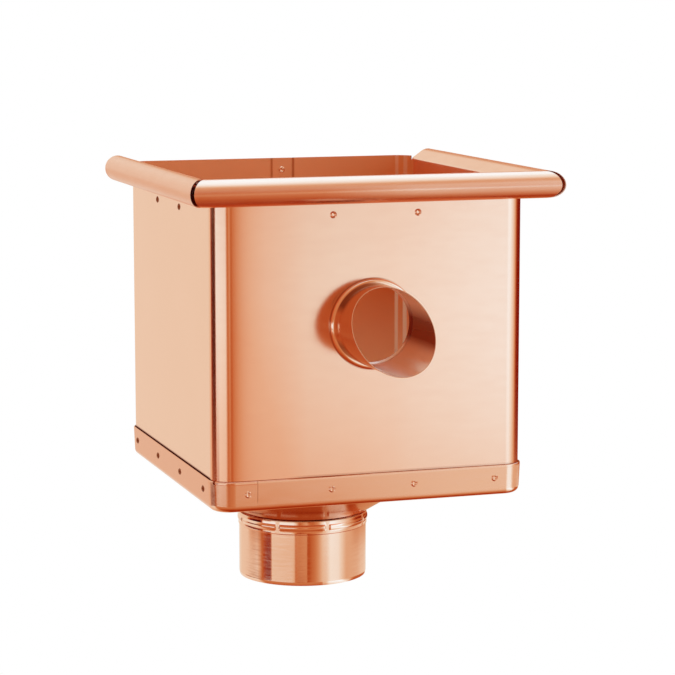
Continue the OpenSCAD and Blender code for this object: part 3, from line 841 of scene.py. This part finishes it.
def bead_mesh(name, row):
    """A strip of the bead's section: row gives the four places of each point along it"""
    outer = [p for point in section_outer for p in row(*point)]
    inner = [p for point in section_inner for p in row(*point)]
    faces = grid_faces(len(section_outer), 4, keep=lambda r, c: r > 0 or c == 1)
    return sheet_mesh(name, outer, inner, faces)


def make_front_bead():
    reach = side_x + bead_out - mitre_side

    def row(out, rise):
        ends = (-reach - out, -straight_x, straight_x, reach - open_front + out)
        return [(x, front_y - bead_out - out, bead_z + rise) for x in ends]

    return bead_mesh("front_roll", row)


def make_side_bead(name, side):
    start = front_y - bead_out + mitre_side - (open_side if side > 0 else 0)

    def row(out, rise):
        ends = (start - out, straight_front, straight_back - gap, back_y - bead_back)
        return [(side * (side_x + bead_out + out), y, bead_z + rise) for y in ends]

    return bead_mesh(name, row)


place_piece(make_front_bead(), bead_copper, shaded_roll_copper, "copper_bead", "front_bead")
place_piece(make_side_bead("left_roll", -1), bead_copper, shaded_roll_copper, "copper_bead", "left_bead")
place_piece(make_side_bead("right_roll", 1), bead_copper, shaded_roll_copper, "copper_bead", "right_bead")
print("roll centre", round(bead_out, 2), "mm out of the wall")

# %% [markdown]
# The overflow spout, the neck and the spigot are tubes. A Screw modifier could turn their sections, but
# the spout's mouth is slanted and the spigot's locking bead is pressed in segments, so each point is
# placed by a rule.

# %% Turning a section
tube_steps = 192


def turned_mesh(name, outer, inner, steps, rule):
    """A sheet turned about an axis: rule places a radius and a length at an angle"""
    angles = [2 * math.pi * i / steps for i in range(steps)]
    first = [rule(r, t, a) for r, t in outer for a in angles]
    second = [rule(r, t, a) for r, t in inner for a in angles]
    return sheet_mesh(name, first, second, grid_faces(len(outer), steps, closed=True))


# %% [markdown]
# The spout lets water out when the downpipe is blocked. A bead pressed out of the tube stops it outside
# the wall, and a flange inside holds it. Past the plain part, the section's next length is stretched to
# the slanted mouth, so that one section serves all round. The bead keeps a bright finish of its own.

# %% Overflow spout
spout_mid, spout_lip, spout_skew = 44.8, 65.8, 2.8
ring_r, ring_out, ring_turns = 2.3, 3.4, 24
flange, flange_bend, groove_h, mouth_edge = 3.5, 0.6, 1.3, 0.4
plain = 8.0
spout_bore = spout_r - sheet


def spout_rule(radius, length, angle):
    """Lengths past the plain part are stretched to the slanted mouth"""
    rise = radius * math.sin(angle)
    mouth = spout_mid - rise / spout_r * (spout_lip - spout_mid) + spout_skew * math.cos(angle)
    reach = length if length <= plain else plain + (length - plain) * (mouth - plain)
    return (radius * math.cos(angle), front_y - reach, spout_z + rise)


def make_spout():
    centre = ring_r + gap
    inside = -sheet - gap
    ring = turn_points(spout_r + ring_out - ring_r, centre, ring_r, -90, 90, ring_turns)
    lengths = [centre + 2 * ring_r * (i / ring_turns - 0.5) for i in range(ring_turns + 1)]
    swells = [(1 + math.cos(math.pi * (t - centre) / ring_r)) / 2 for t in lengths]
    groove = [(spout_bore + groove_h * swell, t) for swell, t in zip(swells, lengths)]
    outer = [(spout_r + flange, inside), (spout_r, inside), (spout_r, gap)] + ring
    outer += [(spout_r, centre + ring_r), (spout_r, plain), (spout_r, plain + 1)]
    inner = [(spout_r + flange, inside - sheet), (spout_bore - flange_bend, inside - sheet)]
    inner += [(spout_bore, inside)] + groove
    inner += [(spout_bore, centre + ring_r + gap), (spout_bore, plain), (spout_bore + mouth_edge, plain + 1)]
    mesh = turned_mesh("overflow_tube", outer, inner, tube_steps, spout_rule)
    for face in mesh.polygons[2 * tube_steps:(len(ring) + 3) * tube_steps]:
        face.material_index = 2
    return mesh


overflow_tube = place_piece(make_spout(), spout_copper, bore_copper, "copper_spout", "overflow_spout")
overflow_tube.data.materials.append(ring_copper)

# %% [markdown]
# The spigot is the tube that the downpipe fits. Its upper end is stretched over a short neck, and a bead
# rolled through both, in eight segments, locks them. The rule pushes a point out where a segment lies,
# with soft ends, and the same rule makes both tubes, so that they nest. The spigot's lower edge is drawn
# in a little.

# %% Locking bead
spigot_r, spigot_top = 51.0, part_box("outlet_spigot")[1].z / mm
band_swell, band_height = 0.6, 10.0
band_r, band_z = spigot_r + band_swell, spigot_top - band_height
lock_z, lock_height, lock_proud = spigot_top - 5.0, 5.0, 0.7
lock_count, lock_land, lock_turn, lock_end = 8, 4.0, 5.0, 1.2
lock_round = ((lock_height / 2) ** 2 + lock_proud ** 2) / (2 * lock_proud)
lock_rows = [lock_z + lock_height / 2 * i / 10 for i in range(-10, 11)]


def lock_push(z, angle):
    """How far the locking bead stands out at a height and an angle"""
    off = z - lock_z
    if abs(off) >= lock_height / 2:
        return 0.0
    rise = math.sqrt(lock_round ** 2 - off ** 2) - (lock_round - lock_proud)
    share = 360 / lock_count
    turn = (math.degrees(angle) - 270 - lock_turn) % share
    edge = min(turn, share - turn) - lock_land / 2
    step = min(max(edge / lock_end + 0.5, 0.0), 1.0)
    return rise * step * step * (3 - 2 * step)


def outlet_rule(radius, z, angle):
    radius += lock_push(z, angle)
    return (radius * math.cos(angle), radius * math.sin(angle), z)


print("locking bead:", lock_count, "segments at", round(lock_z, 1), "mm")

# %% Neck and spigot
neck_r, neck_start = band_r - sheet - gap, band_z + 1.5
outlet_steps = 720
lip_in, lip_height = 0.54, 3.0
lip_rows = (0.0, 0.5, 1.0, 1.5, 2.0, 2.5)


def make_outlet(name, outer):
    inner = [(r - sheet, z) for r, z in outer]
    return turned_mesh(name, outer, inner, outlet_steps, outlet_rule)


spigot_outer = [(spigot_r - lip_in * (1 - z / lip_height) ** 2, z) for z in lip_rows]
spigot_outer += [(spigot_r, lip_height), (spigot_r, band_z - band_swell), (band_r, band_z)]
spigot_outer += [(band_r, z) for z in lock_rows] + [(band_r, spigot_top)]
neck_outer = [(neck_r, z) for z in (neck_start, *lock_rows, spigot_top - gap)]
spigot_mesh = make_outlet("spigot_tube", spigot_outer)
neck_mesh = make_outlet("neck_tube", neck_outer)
place_piece(spigot_mesh, outlet_copper, outlet_copper, "copper_outlet", "outlet_spigot")
place_piece(neck_mesh, outlet_copper, outlet_copper, "copper_outlet", "outlet_neck")

# %% [markdown]
# Between the tray and the spigot hangs a funnel. Its wide mouth lies further forward than the outlet, so
# it is a cone that leans. A sheared cone primitive would lack the flange; here each level of a turned
# section is slid forward in proportion to its height.

# %% Funnel
funnel_low_r, funnel_top = neck_r - sheet - gap, tray_z + sheet + gap
funnel_lean = funnel_y / (funnel_top - spigot_top)
flange_r = funnel_r + 6.0
cone_wall = 0.75 * sheet


def funnel_rule(radius, z, angle):
    slide = funnel_lean * (z - spigot_top)
    return (radius * math.cos(angle), slide + radius * math.sin(angle), z)


def make_funnel():
    outer = [(funnel_low_r, spigot_top), (funnel_r, funnel_top), (flange_r, funnel_top)]
    inner = [(funnel_low_r - cone_wall, spigot_top + cone_wall), (funnel_r - sheet / 2, funnel_top + sheet)]
    inner.append((flange_r, funnel_top + sheet))
    return turned_mesh("funnel_cone", outer, inner, tube_steps, funnel_rule)


place_piece(make_funnel(), funnel_copper, dull_copper, "copper_outlet", "outlet_funnel")

# %% [markdown]
# Blind rivets hold the sheets. Each has a low domed head, dished round the hole of its pulled stem, and a
# spread tail. A rivet could be copied as an instance; here one section is turned at every place of a row,
# so that a row is one mesh and each rivet can have its own grip, the thickness that it holds.

# %% Section of a rivet
head_r, head_h, head_edge, head_lip = 2.6, 1.1, 0.05, 0.12
stem_r, stem_depth, dish_r, dome_steps = 0.8, 0.1, 1.7, 8
shank_r, tail_r, tail_h, tail_edge = 1.5, 2.2, 0.8, 0.3
dome_r = (head_r ** 2 + head_h ** 2) / (2 * head_h)


def rivet_section(grip):
    """Radius and height from the stem hole's bottom over the head, and down to the tail"""
    hole = [(0, -stem_depth), (stem_r - head_lip, -stem_depth)]
    radii = [dish_r + (head_r - head_lip - dish_r) * i / dome_steps for i in range(dome_steps + 1)]
    dome = [(r, math.sqrt(dome_r ** 2 - r ** 2) - (dome_r - head_h)) for r in radii]
    edge = [(head_r, head_edge), (head_r, 0), (shank_r, 0), (shank_r, -grip)]
    end = -grip - tail_h
    tail = [(tail_r, -grip), (tail_r, end + tail_edge), (tail_r - tail_edge, end), (0, end)]
    return hole + dome + edge + tail


print("rivet section:", len(rivet_section(1.0)), "points")

# %% Row of rivets
rivet_steps = 28


def rivet_row(name, places, out, grips):
    """Rivets at places, each with its head towards out"""
    work = bmesh.new()
    turn = Vector(out).to_track_quat("Z", "Y")
    for place, grip in zip(places, grips):
        rings = []
        for r, z in rivet_section(grip):
            ring = circle(r, rivet_steps) if r > 0 else [(0, 0)]
            spots = [Vector(place) + turn @ Vector((*spot, z)) for spot in ring]
            rings.append([work.verts.new(spot * mm) for spot in spots])
        for low, high in zip(rings, rings[1:]):
            for i in range(rivet_steps):
                j = (i + 1) % rivet_steps
                corners = [low[i % len(low)], low[j % len(low)], high[j % len(high)], high[i % len(high)]]
                work.faces.new(list(dict.fromkeys(corners)))
    mesh = bpy.data.meshes.new(name)
    work.to_mesh(mesh)
    work.free()
    return mesh


# %% [markdown]
# Four rivets hold the tray on each side, two hold each bead, and four close the seam at the back. Their
# places repeat the rules of the CAD source, because a rivet has to go through the holes in both sheets.

# %% Places of the rivets
lap = 2 * sheet + gap
tray_rivet_z, bead_rivet_z = tray_z + 13.5, rim_z - 23.0
tray_out = gap + sheet + tray_lean * (tray_rivet_z - bend_z)
inset, lead = 24.0, 6.0
pair_shift, pair_pitch = 2.0, 65.0
seam_foot, seam_head = 34.0, 9.5


def evenly(low, high, count):
    return [low + (high - low) * i / (count - 1) for i in range(count)]


tray_x = evenly(-side_x + inset, side_x - inset, 4)
tray_y = evenly(front_y + inset + lead, back_y - inset, 4)
pair_x = [pair_shift - pair_pitch / 2, pair_shift + pair_pitch / 2]
pair_y = [(front_y + back_y) / 2 + place for place in pair_x]
seam_z = evenly(wall_z + seam_foot, rim_z - seam_head, 4)
seam_mid = seam_x + seam_end / 2
front_outs = [tray_out + (tab_step if x < tab_end else 0) for x in tray_x]
print("tray rivets at x", [round(x, 1) for x in tray_x])

# %% Rivets
def set_rivets(name, node, out, places, grips=None):
    """A row of rivets as a piece that stands for its CAD node"""
    # Rivets on the sides take the finish with painted shade.
    finish = shaded_rivet_copper if out[0] else rivet_copper
    mesh = rivet_row(name, places, out, grips or [lap] * len(places))
    place_piece(mesh, finish, finish, "copper_rivet", node)


to_left, to_right, to_front, to_back = (-1, 0, 0), (1, 0, 0), (0, -1, 0), (0, 1, 0)
front_places = [(x, front_y - out, tray_rivet_z) for x, out in zip(tray_x, front_outs)]
front_grips = [lap + out - tray_out for out in front_outs]
rear_places = [(x, back_y + gap + sheet, tray_rivet_z) for x in tray_x]
set_rivets("front_tray_studs", "front_tray_rivets", to_front, front_places, front_grips)
set_rivets("rear_tray_studs", "rear_tray_rivets", to_back, rear_places)
for name, out, side in (("left", to_left, -1), ("right", to_right, 1)):
    places = [(side * (side_x + tray_out), y, tray_rivet_z) for y in tray_y]
    set_rivets(name + "_tray_studs", name + "_tray_rivets", out, places)
set_rivets("front_bead_studs", "front_bead_rivets", to_front, [(x, front_y, bead_rivet_z) for x in pair_x])
for name, out, side in (("left", to_left, -1), ("right", to_right, 1)):
    places = [(side * side_x, y, bead_rivet_z) for y in pair_y]
    set_rivets(name + "_bead_studs", name + "_bead_rivets", out, places)
set_rivets("seam_studs", "seam_rivet_row", to_front, [(seam_mid, lap_y - sheet, z) for z in seam_z])
